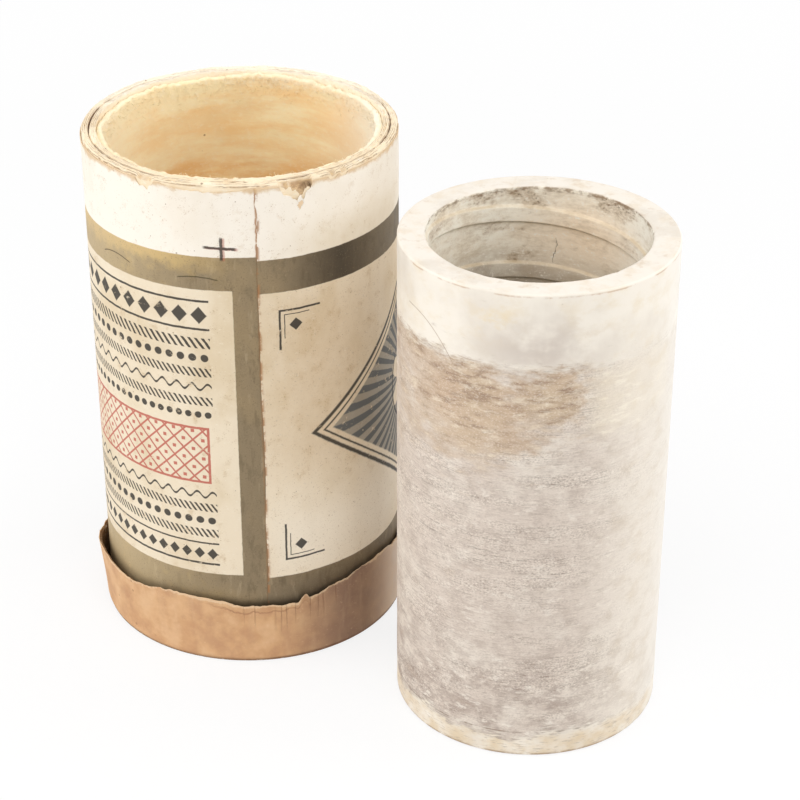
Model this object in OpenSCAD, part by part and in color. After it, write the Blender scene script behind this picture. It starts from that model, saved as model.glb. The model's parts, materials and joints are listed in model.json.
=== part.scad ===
// Moulded wax phonograph cylinder standing beside its open cardboard carton.
// The record's axis is the Z axis and everything stands on the plane z = 0.
// The carton stands on the -X side, in the loose cap that closes its lower end.

/* [Wax record] */
// Outside diameter of the record
record_d = 55.56; // [50:0.02:62]
// Length of the record
record_l = 106.4; // [96:0.2:118]
// Chamfer on the record's two outer edges
edge_chamfer = 0.5; // [0.2:0.1:1]
// Wall of the record at the wide, lower end of its bore, measured to the rib
wall_low_t = 4.78; // [4:0.02:6]
// Wall of the record at the narrow, upper end of its bore, measured to the rib
wall_top_t = 6.33; // [5:0.01:8]
// Length of the plain land at the wide end of the bore
land_l = 4; // [2:0.5:8]
// Chamfer where the bore opens at the narrow end
mouth_chamfer = 0.4; // [0.1:0.1:0.8]

/* [Spiral rib in the bore] */
// Rise of the rib in one turn
rib_pitch = 12.7; // [9:0.1:16]
// Width of the rib's crest
rib_w = 3; // [2:0.1:5]
// Height of the rib above the wall of the bore
rib_h = 0.8; // [0.4:0.1:1.2]
// Width of each sloped flank of the rib
rib_flank = 0.7; // [0.3:0.1:1.2]
// Plain stretch of wall between each end of the rib and the nearest edge
rib_run_out = 0.3; // [0.2:0.1:2]
// Angle at which the rib's upper end stops
rib_end_angle = 222; // [0:1:359]
// Straight pieces in one turn of the rib
rib_steps = 24; // [16:4:40]

/* [Carton] */
// Clearance all round the record inside the fleece
record_clear = 0.57; // [0.3:0.01:1.5]
// Height of the rim above the top of a record that stands in the carton
head_room = 2.55; // [1:0.05:8]
// Thickness of the fleece lining
fleece_t = 1.5; // [0.8:0.1:3]
// Distance of the fleece's upper edge below the rim
fleece_drop = 0.3; // [0:0.1:2]
// Thickness of the fleece pad on the floor
pad_t = 1.2; // [0.6:0.1:3]
// Wall of the inner cardboard tube
inner_board_t = 1.5; // [1:0.05:2.5]
// Wall of the outer cardboard tube
outer_board_t = 1.45; // [1:0.05:2.5]
// Play between the two cardboard tubes
tube_gap = 0.1; // [0.05:0.05:0.4]
// Thickness of the board disc that closes the lower end
base_board_t = 1.5; // [1:0.1:3]
// Thickness of a glue line between two pieces
glue_t = 0.05; // [0.02:0.01:0.1]

/* [Label] */
// Thickness of the paper that wraps the carton
label_t = 0.2; // [0.1:0.05:0.3]
// Distance of the paper's upper edge below the rim
label_drop = 0.9; // [0.2:0.1:4]
// Angle at which the paper's end lies on its own start
seam_angle = -48; // [-180:1:180]
// Angle over which the paper laps itself
lap_angle = 13; // [5:1:30]

/* [End cap] */
// Radial play between the cap and the lapped paper of the carton
cap_clear = 0.3; // [0.2:0.05:1]
// Height of the cap
cap_h = 15.8; // [10:0.2:30]
// Wall of the cap's board skirt
skirt_t = 0.35; // [0.3:0.05:1]
// Thickness of the cap's board disc
cap_board_t = 1.5; // [1:0.1:3]
// Thickness of the cap's brown cover paper
cap_paper_t = 0.15; // [0.1:0.05:0.3]
// Distance of the skirt's upper edge below the edge of the cover paper
skirt_drop = 0.4; // [0:0.1:2]
// Width of the cover paper that is turned in under the cap
paper_turn_in = 9; // [4:0.5:15]

/* [Layout] */
// Free space between the record and the cap where they stand
stand_gap = 10.5; // [4:0.5:60]

/* [Hidden] */
$fn = 128;

record_r = record_d / 2;
bore_low_r = record_r - wall_low_t;
bore_top_r = record_r - wall_top_t;
rib_depth = 0.6; // how far the rib's root is sunk into the wall it grows from
cut_over = 1; // how far a cut runs past the solid at each end

// Radii of the carton's layers, from the record outwards
well_r = record_r + record_clear;
fleece_r = well_r + fleece_t;
inner_in_r = fleece_r + glue_t;
inner_out_r = inner_in_r + inner_board_t;
outer_in_r = inner_out_r + tube_gap;
outer_out_r = outer_in_r + outer_board_t;
label_in_r = outer_out_r + glue_t;
label_out_r = label_in_r + label_t;
lap_out_r = label_out_r + label_t;
skirt_in_r = lap_out_r + cap_clear;
skirt_out_r = skirt_in_r + skirt_t;
cap_paper_in_r = skirt_out_r + glue_t;
cap_out_r = cap_paper_in_r + cap_paper_t;

// Heights of the carton's layers, from the surface it stands on upwards
cap_board_z = cap_paper_t;
tube_z = cap_board_z + cap_board_t;
base_top_z = tube_z + base_board_t;
pad_top_z = base_top_z + pad_t;
rim_z = pad_top_z + record_l + head_room;

carton_x = -(record_r + stand_gap + cap_out_r);

// Radius across the rib, and of the wall behind it, at a height in the bore
function crest_r(z) = bore_low_r + (bore_top_r - bore_low_r) * z / record_l;
function wall_r(z) = crest_r(z) + rib_h;

// The rib's centre line climbs counter-clockwise between these two heights
rib_half = rib_w / 2 + rib_flank;
rib_low_z = land_l + rib_run_out + rib_half;
rib_top_z = record_l - mouth_chamfer - rib_run_out - rib_half;
rib_turns = (rib_top_z - rib_low_z) / rib_pitch;
rib_rings = ceil(rib_turns * rib_steps);

// One section of the rib: the two corners of its crest, then the two of its root in the wall
function rib_section(i) =
    let (
        z = rib_low_z + (rib_top_z - rib_low_z) * i / rib_rings,
        a = rib_end_angle - 360 * (rib_top_z - z) / rib_pitch,
        root_r = wall_r(z) + rib_depth
    )
    [
        for (corner = [
            [crest_r(z), -rib_w / 2],
            [crest_r(z), rib_w / 2],
            [root_r, rib_half],
            [root_r, -rib_half]
        ])
        [corner[0] * cos(a), corner[0] * sin(a), z + corner[1]]
    ];

// Ring of rectangular section, as cut from a tube
module tube(inner_r, outer_r, low_z, high_z) {
    translate([0, 0, low_z])
        difference() {
            cylinder(r = outer_r, h = high_z - low_z);
            translate([0, 0, -cut_over])
                cylinder(r = inner_r, h = high_z - low_z + 2 * cut_over);
        }
}

module disc(r, low_z, high_z) {
    translate([0, 0, low_z])
        cylinder(r = r, h = high_z - low_z);
}

module at_carton() {
    translate([carton_x, 0, 0])
        children();
}

module spiral_rib() {
    last = 4 * rib_rings;
    sides = [
        for (i = [0:rib_rings - 1], k = [0:3])
            let (here = 4 * i + k, beside = 4 * i + (k + 1) % 4)
            each [[here, beside + 4, beside], [here, here + 4, beside + 4]]
    ];
    ends = [[0, 1, 2], [0, 2, 3], [last, last + 2, last + 1], [last, last + 3, last + 2]];
    polyhedron([for (i = [0:rib_rings]) each rib_section(i)], concat(sides, ends));
}

module wax_record() {
    top_wall_r = wall_r(record_l);
    color("tan") {
        rotate_extrude()
            polygon([
                [bore_low_r, 0],
                [record_r - edge_chamfer, 0],
                [record_r, edge_chamfer],
                [record_r, record_l - edge_chamfer],
                [record_r - edge_chamfer, record_l],
                [top_wall_r + mouth_chamfer, record_l],
                [wall_r(record_l - mouth_chamfer), record_l - mouth_chamfer],
                [wall_r(land_l), land_l],
                [bore_low_r, land_l]
            ]);
        spiral_rib();
    }
}

module outer_tube() {
    color("burlywood")
        at_carton() tube(outer_in_r, outer_out_r, tube_z, rim_z);
}

module inner_tube() {
    color("bisque")
        at_carton() tube(inner_in_r, inner_out_r, base_top_z, rim_z);
}

module fleece_lining() {
    color("moccasin")
        at_carton() tube(well_r, fleece_r, pad_top_z, rim_z - fleece_drop);
}

module base_board() {
    color("burlywood")
        at_carton() disc(outer_in_r - glue_t, tube_z, base_top_z);
}

module base_pad() {
    color("moccasin")
        at_carton() disc(fleece_r, base_top_z, pad_top_z);
}

// The paper goes once round the carton, and its end lies on its start beside the seam
module label_wrap() {
    top_z = rim_z - label_drop;
    color("darkkhaki")
        at_carton() {
            tube(label_in_r, label_out_r, tube_z, top_z);
            rotate([0, 0, seam_angle])
                rotate_extrude(angle = lap_angle)
                    translate([label_out_r - label_t / 2, tube_z])
                        square([label_t * 1.5, top_z - tube_z]);
        }
}

module cap_skirt() {
    color("burlywood")
        at_carton() tube(skirt_in_r, skirt_out_r, cap_board_z, cap_h - skirt_drop);
}

module cap_board() {
    color("burlywood")
        at_carton() disc(skirt_in_r - glue_t, cap_board_z, tube_z);
}

// The cover paper goes round the skirt and is turned in under the disc
module cap_paper() {
    color("peru")
        at_carton() {
            tube(cap_paper_in_r, cap_out_r, 0, cap_h);
            tube(cap_out_r - paper_turn_in, cap_out_r, 0, cap_paper_t);
        }
}

wax_record();
outer_tube();
inner_tube();
fleece_lining();
base_board();
base_pad();
label_wrap();
cap_skirt();
cap_board();
cap_paper();
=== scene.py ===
import json
import math
from functools import cached_property
import bpy
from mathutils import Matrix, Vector, noise


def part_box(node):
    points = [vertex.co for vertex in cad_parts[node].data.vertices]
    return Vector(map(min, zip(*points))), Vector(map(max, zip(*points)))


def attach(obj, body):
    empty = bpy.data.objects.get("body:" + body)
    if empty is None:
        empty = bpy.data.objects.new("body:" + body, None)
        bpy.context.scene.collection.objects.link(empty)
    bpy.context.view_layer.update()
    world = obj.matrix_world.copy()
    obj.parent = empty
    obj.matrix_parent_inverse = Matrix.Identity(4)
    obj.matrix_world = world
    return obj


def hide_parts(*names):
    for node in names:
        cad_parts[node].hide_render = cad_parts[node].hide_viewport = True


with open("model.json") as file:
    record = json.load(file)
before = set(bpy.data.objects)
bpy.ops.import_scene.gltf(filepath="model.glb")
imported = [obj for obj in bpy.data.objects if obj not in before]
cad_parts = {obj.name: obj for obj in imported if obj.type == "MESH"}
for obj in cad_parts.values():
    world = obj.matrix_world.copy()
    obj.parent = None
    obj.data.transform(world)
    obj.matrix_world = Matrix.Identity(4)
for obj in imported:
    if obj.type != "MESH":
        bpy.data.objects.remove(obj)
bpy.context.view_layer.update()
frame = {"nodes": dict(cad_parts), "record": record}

# Sizes in this script are millimetres and degrees, unless a note says otherwise.
mm = 0.001
scene = bpy.context.scene
scene.view_settings.view_transform = "Standard"
mounts = {mount["name"]: mount["dims"] for mount in frame["record"]["mounts"]}


def lowOf(node):
    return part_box(node)[0].z / mm


def topOf(node):
    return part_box(node)[1].z / mm


def radiusOf(node):
    low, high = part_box(node)
    return (high.x - low.x) / 2 / mm


def axisOf(node):
    low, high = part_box(node)
    return (high.x + low.x) / 2 / mm


cartonX = axisOf("outer_tube")
rimZ = topOf("outer_tube")
wellRadius = mounts["record_well"]["r_mm"]
boreRadius = mounts["mandrel_bore"]["r_mm"]
frontBearing = -56.72  # bearing of the set's front, counter-clockwise from +X
print("frame read: rim of the carton at", round(rimZ, 2), "mm")

camera = {
    "place": (0.19896, -0.35260, 0.29313),  # metres
    "down": 29.04,
    "turn": 33.28,
    "lens": 102.39,
    "sensor": 36.0,
}


def placeCamera(c):
    data = bpy.data.cameras.new("photoCamera")
    data.lens = c["lens"]
    data.sensor_width = c["sensor"]
    body = bpy.data.objects.new("photoCamera", data)
    body.location = c["place"]
    body.rotation_euler = (math.radians(90 - c["down"]), 0, math.radians(c["turn"]))
    scene.collection.objects.link(body)
    scene.camera = body


placeCamera(camera)
print("camera placed")


# Linear colour of a hex code
def tone(code):
    parts = [int(code[i : i + 2], 16) / 255 for i in (1, 3, 5)]
    return (*((p / 12.92 if p < 0.04045 else ((p + 0.055) / 1.055) ** 2.4) for p in parts), 1.0)


# One step of a sum on wires, as a maths node
def step(operation, reflected=False):
    def run(self, *values):
        return self.graph.math(operation, *((*values, self) if reflected else (self, *values)))

    return run


# One socket of a node, on which sums can be written as plain expressions
class Wire:
    def __init__(self, graph, socket):
        self.graph = graph
        self.socket = socket

    __add__ = __radd__ = step("ADD")
    __sub__ = step("SUBTRACT")
    __rsub__ = step("SUBTRACT", True)
    __mul__ = __rmul__ = step("MULTIPLY")
    __truediv__ = step("DIVIDE")
    __rtruediv__ = step("DIVIDE", True)
    __pow__ = step("POWER")
    __abs__ = step("ABSOLUTE")
    sine = step("SINE")
    fraction = step("FRACT")
    nearest = step("ROUND")
    least = step("MINIMUM")
    most = step("MAXIMUM")

    def other(self, name):
        return Wire(self.graph, self.socket.node.outputs[name])

    # 0 below low, 1 above high, and smooth between them
    def rise(self, low, high):
        sockets = {"Value": self, "From Min": low, "From Max": high}
        return self.graph.make("ShaderNodeMapRange", {"interpolation_type": "SMOOTHSTEP"}, sockets)

    def fall(self, low, high):
        return 1 - self.rise(low, high)

    # 1 between low and high, with soft edges
    def band(self, low, high, soft):
        return self.rise(low - soft, low + soft) * self.fall(high - soft, high + soft)

    # 1 at the middle, 0 beyond the reach
    def near(self, middle, reach):
        return abs(self - middle).fall(0.0, reach)

    # grain about its middle, for edges that wander
    def sway(self, reach):
        return (self - 0.5) * reach

    # degrees from a bearing, the short way round
    def turnFrom(self, middle):
        return (((self - middle) / 360 + 0.5).fraction() - 0.5) * 360


class Graph:
    def __init__(self, tree):
        self.tree = tree

    # gives sockets of a node a fixed value, or joins them to a wire
    def fill(self, node, sockets):
        for key, value in sockets.items():
            if isinstance(value, Wire):
                self.tree.links.new(value.socket, node.inputs[key])
            else:
                node.inputs[key].default_value = value

    def make(self, kind, settings=None, sockets=None, output=0):
        node = self.tree.nodes.new(kind)
        for key, value in (settings or {}).items():
            setattr(node, key, value)
        self.fill(node, sockets or {})
        return Wire(self, node.outputs[output]) if node.outputs else node

    def math(self, operation, *values):
        return self.make("ShaderNodeMath", {"operation": operation}, dict(enumerate(values)))

    def split(self, vector):
        x = self.make("ShaderNodeSeparateXYZ", {}, {"Vector": vector})
        return x, x.other("Y"), x.other("Z")

    def join(self, x, y, z):
        return self.make("ShaderNodeCombineXYZ", {}, {"X": x, "Y": y, "Z": z})


# The nodes of a material, on a piece with an upright axis at x = middle; places on it are in millimetres
class Finish(Graph):
    def __init__(self, name, middle=0.0):
        self.material = bpy.data.materials.new(name)
        self.material.use_nodes = True
        super().__init__(self.material.node_tree)
        coords = self.make("ShaderNodeTexCoord", output="Object")
        self.at = self.scaled(coords, (1 / mm,) * 3, (-middle, 0.0, 0.0))
        self.x, self.y, self.z = self.split(self.at)

    def scaled(self, vector, scale, shift):
        sockets = {0: vector, 1: scale, 2: shift}
        return self.make("ShaderNodeVectorMath", {"operation": "MULTIPLY_ADD"}, sockets)

    @cached_property
    def radius(self):
        return (self.x * self.x + self.y * self.y) ** 0.5

    # angle round the axis from the set's front, in degrees from -180 to 180, to the right
    @cached_property
    def bearing(self):
        turn = math.radians(-frontBearing)
        ahead = self.x * math.cos(turn) - self.y * math.sin(turn)
        aside = self.x * math.sin(turn) + self.y * math.cos(turn)
        return self.math("ARCTAN2", aside, ahead) * (180 / math.pi)

    # a number that is kept on the points of the mesh
    def number(self, name):
        return self.make("ShaderNodeAttribute", {"attribute_name": name}, output="Fac")

    # cloudy grain; size is the width of one cloud, and stretch makes it longer sideways and upwards
    def grain(self, size, detail, rough, stretch=(1, 1), seed=0.0, at=None):
        wide, tall = (1 / (size * s) for s in stretch)
        moved = self.scaled(at or self.at, (wide, wide, tall), (seed,) * 3)
        sockets = {"Vector": moved, "Scale": 1.0, "Detail": detail, "Roughness": rough}
        return self.make("ShaderNodeTexNoise", {}, sockets)

    # round spots of mixed sizes, in a share of the cells
    def spots(self, size, share, radius, seed):
        moved = self.scaled(self.at, (1 / size,) * 3, (seed,) * 3)
        cells = self.make("ShaderNodeTexVoronoi", {}, {"Vector": moved, "Scale": 1.0})
        chance, spread, _ = self.split(cells.other("Color"))
        return chance.fall(share - 0.01, share) * (cells / (spread + 0.3)).fall(radius * 0.55, radius)

    # soft patches: bearing, height, reach in degrees, reach in mm, strength
    def patches(self, bearing, z, places):
        total = 0.0
        for middle, high, wide, tall, strength in places:
            total = bearing.turnFrom(middle).near(0.0, wide) * z.near(high, tall) * strength + total
        return total

    def mix(self, first, second, share):
        first, second = (tone(c) if isinstance(c, str) else c for c in (first, second))
        return self.make("ShaderNodeMix", {"data_type": "RGBA"}, {0: share, 6: first, 7: second}, 2)

    # lays colours over a ground, each through its own mask
    def layers(self, ground, *coats):
        for colour, mask in coats:
            ground = self.mix(ground, colour, mask)
        return ground

    # joins colour, roughness and bump to the shader; depth is the bump's in millimetres
    def finish(self, colour, roughness, height, depth, specular, sheen=0.0):
        bump = self.make("ShaderNodeBump", {}, {"Height": height, "Distance": depth * mm, "Strength": 1.0})
        sockets = {"Base Color": colour, "Roughness": roughness, "Normal": bump}
        sockets.update({"Specular IOR Level": specular, "Sheen Weight": sheen})
        self.fill(self.tree.nodes["Principled BSDF"], sockets)
        return self.material


# Noise on a tube, the same at both ends of a turn; size is the width of one lump
def lump(bearing, z, radius, size, seed, kind=noise.noise):
    a = math.radians(bearing)
    at = Vector((radius * math.cos(a), radius * math.sin(a), z)) / size
    return kind(at + Vector((seed * 7.31, seed * 3.17, seed * 5.53)))


# A sum of lumps, each with its height, size and seed; with noise.cell it tears in level flakes
def lumps(rows, bearing, z, radius):
    return sum(height * lump(bearing, z, radius, *rest) for height, *rest in rows)


# Smooth line through given (place, value) knots, level outside them
def knotLine(knots, at):
    if at <= knots[0][0]:
        return knots[0][1]
    for (low, first), (high, last) in zip(knots, knots[1:]):
        if at <= high:
            t = (at - low) / (high - low)
            return first + (last - first) * t * t * (3 - 2 * t)
    return knots[-1][1]


# 1 at the middle of a notch in a round edge, 0 at its ends, with a flat floor and steep sides
def notch(bearing, middle, half):
    t = ((bearing - middle + 180) % 360 - 180) / half
    return max(0.0, 1 - t * t) ** 0.6


def upright(x, bearing, radius, z):
    a = math.radians(frontBearing + bearing)
    return x + radius * math.cos(a), radius * math.sin(a), z


# Points of a section (radius, z) round the carton's axis
def stand(bearing, section):
    return [upright(cartonX, bearing, radius, z) for radius, z in section]


def bearings(columns):
    return [360 * i / columns - 180 for i in range(columns)]


# Skins a row of section loops; each loop goes up the inner side, over the top and down the outer side
def skin(name, loops, wrap=True, sheetMap=None):
    count = len(loops[0])
    rows = len(loops)
    points = [tuple(c * mm for c in point) for loop in loops for point in loop]
    faces = []
    for i in range(rows if wrap else rows - 1):
        a = i * count
        b = (i + 1) % rows * count
        for k in range(count):
            n = (k + 1) % count
            faces.append((a + k, a + n, b + n, b + k))
    if not wrap:
        last = (rows - 1) * count
        for k in range(count // 2 - 1):
            end = (k, count - 1 - k, count - 2 - k, k + 1)
            faces.append(end)
            faces.append(tuple(last + c for c in reversed(end)))
    mesh = bpy.data.meshes.new(name)
    mesh.from_pydata(points, [], faces)
    if sheetMap:
        layer = mesh.uv_layers.new(name="sheet")
        spots = [sheetMap[loop.vertex_index] for loop in mesh.loops]
        layer.uv.foreach_set("vector", [c for spot in spots for c in spot])
    return mesh


def keepNumbers(mesh, name, values):
    mesh.attributes.new(name, "FLOAT", "POINT").data.foreach_set("value", values)


def addPiece(mesh, body, material, replaced, sharp):
    mesh.materials.clear()
    mesh.materials.append(material)
    mesh.shade_smooth()
    mesh.set_sharp_from_angle(angle=math.radians(sharp))
    piece = bpy.data.objects.new(mesh.name, mesh)
    scene.collection.objects.link(piece)
    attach(piece, body)
    if replaced:
        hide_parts(*replaced)
    return piece


# A node tree with geometry, named inputs and a material; returns its graph and its inputs
def startTree(name, inputs):
    tree = bpy.data.node_groups.new(name, "GeometryNodeTree")
    for label, kind in {"Geometry": "Geometry", **inputs, "Material": "Material"}.items():
        tree.interface.new_socket(label, in_out="INPUT", socket_type="NodeSocket" + kind)
    tree.interface.new_socket("Geometry", in_out="OUTPUT", socket_type="NodeSocketGeometry")
    g = Graph(tree)
    entry = tree.nodes.new("NodeGroupInput")
    return g, {socket.name: Wire(g, socket) for socket in entry.outputs if socket.name}


def endTree(g, geometry, material):
    real = g.make("GeometryNodeRealizeInstances", {}, {"Geometry": geometry})
    dressed = g.make("GeometryNodeSetMaterial", {}, {"Geometry": real, "Material": material})
    g.make("NodeGroupOutput", {}, {"Geometry": dressed})
    return g.tree


# Runs a tree on a carrier mesh and returns the plain mesh that comes out
def grow(name, carrier, tree, values):
    holder = bpy.data.objects.new(name, carrier)
    scene.collection.objects.link(holder)
    modifier = holder.modifiers.new("grow", "NODES")
    modifier.node_group = tree
    for socket in tree.interface.items_tree:
        if socket.in_out == "INPUT" and socket.name in values:
            modifier[socket.identifier] = values[socket.name]
    holder.update_tag()
    grown = holder.evaluated_get(bpy.context.evaluated_depsgraph_get())
    mesh = bpy.data.meshes.new_from_object(grown)
    mesh.name = name
    holder.modifiers.clear()
    bpy.data.objects.remove(holder)
    return mesh


# Wax record

record = {
    "radius": radiusOf("wax_record"),
    "length": topOf("wax_record"),
    "boreLow": boreRadius,
    "boreTop": 21.45,
    "boreLimit": 24.0,  # all of the bore's wall lies within this radius
    "wallDepth": 0.8,  # depth of the bore's wall behind the mandrel's taper
    "landLength": 4.0,
    "landEdge": 0.3,
    "edgeRound": 0.6,
    "mouthRound": 0.45,
    "columns": 144,
    "boreRows": (190, 270),  # in the deep half of the bore, and from the middle to the mouth
    "wallRows": 48,
    "rimRows": 8,
    "ribPitch": 12.7,
    "ribWidth": 3.0,
    "ribFlank": 0.5,
    "ribHeight": 0.55,
    "ribLowEnd": 6.5,
    "ribTopEnd": 103.5,
    "ribFade": 0.15,
    "ribEndAngle": 222.0,  # bearing from +X
    "groovePitch": 0.254,  # of the sound groove
    "dents": ((0.05, 7, 1),),  # height, size, seed
    "smoothEnds": (1.0, 0.05),  # without dents, at the foot and at the face
    "chipDepth": 0.5,
    "chipDrop": 1.2,
    "chipReach": 0.6,
    "chipLump": (22, 3.2, 2),  # radius, size, seed
    "chipLeast": 0.05,
    # where the recorded band is stained: bearing, height, reach in degrees, reach in mm, strength
    "stains": (
        (-72, 77, 46, 24, 0.42), (-66, 90, 34, 8, 0.45), (-40, 81, 34, 15, 0.6), (-26, 85, 26, 9, 0.85),
        (-28, 74, 30, 15, 0.42), (4, 86, 24, 10, 1.25), (-8, 77, 34, 11, 0.42), (-11, 88, 9, 5, -0.3),
        (130, 60, 60, 30, 0.6), (-150, 78, 50, 22, 0.7),
    ),
    # where mould grows in the bore, in the same form
    "mould": (
        (-153, 105, 15, 3.0, 1.0), (-178, 104, 18, 4.0, 1.1), (140, 105, 16, 3.4, 1.0),
        (128, 104, 14, 4.0, 0.9), (-122, 103, 18, 4.0, 0.6), (-150, 99, 22, 5.0, 0.5),
        (-162, 97, 16, 2.5, 0.45), (-172, 91, 16, 2.5, 0.7), (125, 98, 12, 2.5, 0.5),
        (-108, 103, 9, 3.0, 0.5), (60, 103, 30, 4.0, 0.6), (-30, 104, 34, 3.0, 0.6),
    ),
    "hairline": {"start": -67.0, "sweep": 29.0, "high": 97.0, "drop": 8.0},
    "boreCrack": {"bearing": 167.2, "slant": 0.24, "low": 89.2, "high": 94.8},
}
ribLengths = ("ribPitch", "ribWidth", "ribFlank", "ribHeight", "ribLowEnd", "ribTopEnd", "ribFade")


def boreWall(r, z):
    return r["boreLow"] + (r["boreTop"] - r["boreLow"]) * z / r["length"] + r["wallDepth"]


def corner(radius, z, size, start, steps=5):
    turns = [math.radians(start - 90 * k / steps) for k in range(steps + 1)]
    return [(radius + size * math.cos(t), z + size * math.sin(t)) for t in turns]


# Section of the record, from the foot of the bore round to the foot of the bore
def recordSection(r):
    top, mouth, edge, foot = r["length"], r["mouthRound"], r["edgeRound"], r["landLength"]
    high = top - mouth
    half = (foot + high) / 2
    deep, shallow = r["boreRows"]
    heights = [foot + (half - foot) * k / deep for k in range(deep)]
    heights += [half + (high - half) * k / shallow for k in range(shallow)]
    bore = [(boreWall(r, z), z) for z in heights]
    rimIn = boreWall(r, high) + mouth
    rimOut = r["radius"] - edge
    lip = corner(rimIn, high, mouth, 180)
    rim = [(rimIn + (rimOut - rimIn) * k / r["rimRows"], top) for k in range(1, r["rimRows"])]
    shoulder = corner(rimOut, top - edge, edge, 90)
    rows = r["wallRows"]
    wall = [(r["radius"], top - edge - (top - 2 * edge) * k / rows) for k in range(1, rows)]
    heel = corner(rimOut, edge, edge, 0)
    inside, cut = r["boreLow"], r["landEdge"]
    land = [(inside + cut, 0.0), (inside, cut), (inside, foot * 0.5), (inside, foot - 0.1)]
    return bore + lip + rim + shoulder + wall + heel + land, len(bore)


# Draws the bore's wall in along one spiral, and notes how far each point is from the rib's middle
def spiralRibTree():
    g, wire = startTree("spiralRib", dict.fromkeys((*ribLengths, "ribEndAngle"), "Float"))
    pitch, width, flank, height, lowEnd, topEnd, fade = (wire[name] for name in ribLengths)
    x, y, z = g.split(g.make("GeometryNodeInputPosition"))
    turn = (g.math("ARCTAN2", y, x) - wire["ribEndAngle"]) / (2 * math.pi)
    lap = ((z - topEnd) / pitch - turn).nearest()
    middle = topEnd + pitch * (turn + lap)
    side = z - middle
    inRun = middle.band(lowEnd, topEnd, fade)
    crest = width / 2
    form = abs(side).fall(crest, crest + flank) * inRun
    onWall = g.make("GeometryNodeInputNamedAttribute", {"data_type": "FLOAT"}, {"Name": "boreWall"})
    reach = form * onWall * height / (x * x + y * y) ** 0.5
    move = g.join(x * reach * -1, y * reach * -1, 0.0)
    moved = g.make("GeometryNodeSetPosition", {}, {"Geometry": wire["Geometry"], "Offset": move})
    # beyond the rib's ends the note stands 20 mm off
    told = {"Geometry": moved, "Name": "ribSide", "Value": side / mm + (1 - inRun) * 20}
    marked = g.make("GeometryNodeStoreNamedAttribute", {"data_type": "FLOAT", "domain": "POINT"}, told)
    return endTree(g, marked, wire["Material"])


# Bare wax of the margin and the foot
def bareWax(g, cloud, mottle, dash):
    z, bearing = g.z, g.bearing
    return g.layers(
        "#f1e9dc",
        ("#e6d6ba", mottle.rise(0.45, 0.75) * 0.5),
        ("#d8cdbf", cloud.rise(0.42, 0.7) * 0.5),
        ("#cdc1b6", (cloud + mottle * 0.5).rise(0.6, 0.95) * bearing.near(-2, 40) * z.near(95.5, 10) * 0.9),
        ("#ead6ae", bearing.near(-20, 16) * z.near(100, 6) * mottle.rise(0.4, 0.65) * 0.6),
        ("#dcc7a6", z.fall(3.6, 6.4) * mottle.rise(0.25, 0.65) * 0.8),
        ("#ab9a88", z.fall(4.4, 6.4) * dash.rise(0.54, 0.68) * 0.5),
        ("#8f7f6e", g.spots(4.2, 0.22, 0.09, 2.0) * 0.6),
    )


# Grey bloom of the recorded band, with dashes and fine lines that lie along the groove
def greyBloom(g, cloud, mottle, flake, dash, dots):
    low = g.z.fall(8, 34)
    stipple = g.grain(6, 3, 0.55, (5, 0.7), 61.0).rise(0.44, 0.62)
    line = g.grain(0.42, 2, 0.5, (9, 0.6), 71.0)
    score = g.grain(0.36, 1, 0.4, (30, 0.6), 73.0)
    return g.layers(
        "#d8cabd",
        ("#e8ded1", cloud.rise(0.44, 0.66) * 0.75),
        ("#bbab9f", mottle.rise(0.42, 0.68) * 0.6),
        ("#a69489", low * mottle.rise(0.34, 0.62) * 0.65),
        ("#a8978b", dash.rise(0.52, 0.68) * 0.35),
        ("#e4d8ca", dash.fall(0.34, 0.48) * 0.4),
        ("#8c7b6e", line.rise(0.62, 0.7) * (0.15 + stipple * 0.5)),
        ("#84766b", score.rise(0.64, 0.7) * stipple * 0.5),
        ("#f3ebdf", flake.rise(0.56, 0.68) * (0.4 + low * 0.25)),
        ("#8f7e70", dots.rise(0.52, 0.66) * (0.14 + stipple * 0.34)),
        ("#f6eee2", dots.fall(0.34, 0.46) * (0.14 + stipple * 0.34)),
    )


# Brown stains with frayed edges, full of short dashes and pale flakes that lie along the groove
def stainedBloom(g, r, bloom, cloud, mottle, dots, drift):
    z, bearing = g.z, g.bearing
    frayed = bearing + g.grain(6, 5, 0.7, (1.6, 0.8), 31.0).sway(56)
    raised = z + g.grain(5, 5, 0.7, (2.2, 0.7), 33.0).sway(18)
    streak = g.grain(1.5, 4, 0.55, (2.8, 0.7), 37.0)
    scale = g.grain(2.0, 5, 0.65, (2.2, 0.7), 39.0)
    brown = g.patches(frayed, raised, r["stains"]).least(1.0)
    brown = (brown + mottle.sway(0.8) + scale.sway(0.8)).rise(0.08, 0.95)
    return g.layers(
        bloom,
        ("#cfb89b", brown * 0.88),
        ("#c5a990", brown * cloud.rise(0.4, 0.6) * 0.6),
        ("#a98e77", brown * (streak * 0.6 + mottle * 0.4).rise(0.42, 0.64) * (0.3 + z.rise(75, 82) * 0.5)),
        ("#8a7261", brown.rise(0.4, 1.0) * (streak + dots.sway(0.3)).rise(0.5, 0.74) * 0.5),
        ("#ecdfca", brown.rise(0.0, 0.5) * scale.rise(0.52, 0.7) * 0.6),
        ("#f6eee2", brown * dots.fall(0.34, 0.46) * 0.3),
        ("#e6d8c2", bearing.band(20, 62, 8) * (z + drift).band(76, 90, 3) * (0.4 + mottle * 0.6)),
        ("#f6ecd9", bearing.band(20, 62, 8) * (z + drift).band(74, 90, 3) * scale.rise(0.5, 0.66) * 0.7),
        ("#86725f", z.near(5.9, 0.24) * mottle.rise(0.35, 0.5) * 0.75),
    )


def hairlineMark(g, h):
    along = ((g.bearing - h["start"]) / h["sweep"]).most(0.0)
    hair = abs(g.z - h["high"] + along ** 2.6 * h["drop"]).fall(0.03, 0.17 + along ** 3 * 0.2)
    return hair * g.bearing.band(h["start"] + 1, h["start"] + h["sweep"], 0.5)


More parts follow.
